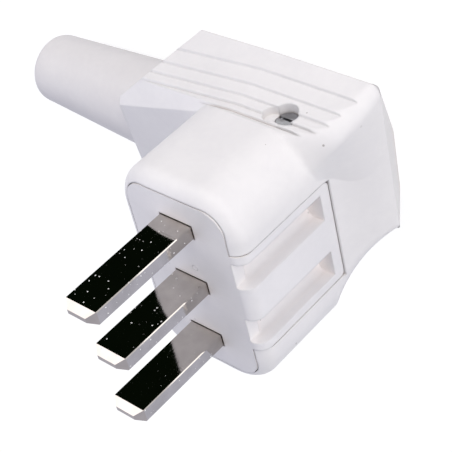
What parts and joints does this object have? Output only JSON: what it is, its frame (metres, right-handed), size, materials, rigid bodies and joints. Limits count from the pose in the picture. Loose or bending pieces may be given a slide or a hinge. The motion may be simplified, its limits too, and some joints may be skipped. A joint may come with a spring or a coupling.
{
  "type": "cooker plug",
  "caption": "Angled cooker plug with flat blades in a row, a flared grip hood and a side cable sleeve.",
  "frame": {"origin": "under the middle blade, on the plane of the plug's flat back", "axes": "+Z along the blades away from the back, +Y towards the longer earth blade, -X along the cable sleeve, +X towards the keying grooves"},
  "size_m": [0.0965, 0.0555, 0.0734],
  "materials": {
    "white_plastic": "satin",
    "sleeve_plastic": "matte",
    "inner_plastic": "matte",
    "blade_metal": "plated",
    "brass": "plain",
    "steel": "zinc plated"
  },
  "bodies": {
    "root": {"cover": "white_plastic", "pin_carrier": "white_plastic", "pin_retainer": "inner_plastic", "cord_clamp": "inner_plastic", "cable_sleeve": "sleeve_plastic", "pin_earth": "blade_metal", "clamp_saddle_earth": "steel", "terminal_screw_earth": "brass", "pin_line": "blade_metal", "clamp_saddle_line": "steel", "terminal_screw_line": "brass", "pin_neutral": "blade_metal", "clamp_saddle_neutral": "steel", "terminal_screw_neutral": "brass", "retainer_screw_1": "steel", "retainer_screw_2": "steel", "cord_clamp_screw_1": "steel", "cord_clamp_screw_2": "steel", "cover_screw": "steel", "cover_nut": "steel"}
  },
  "joints": []
}
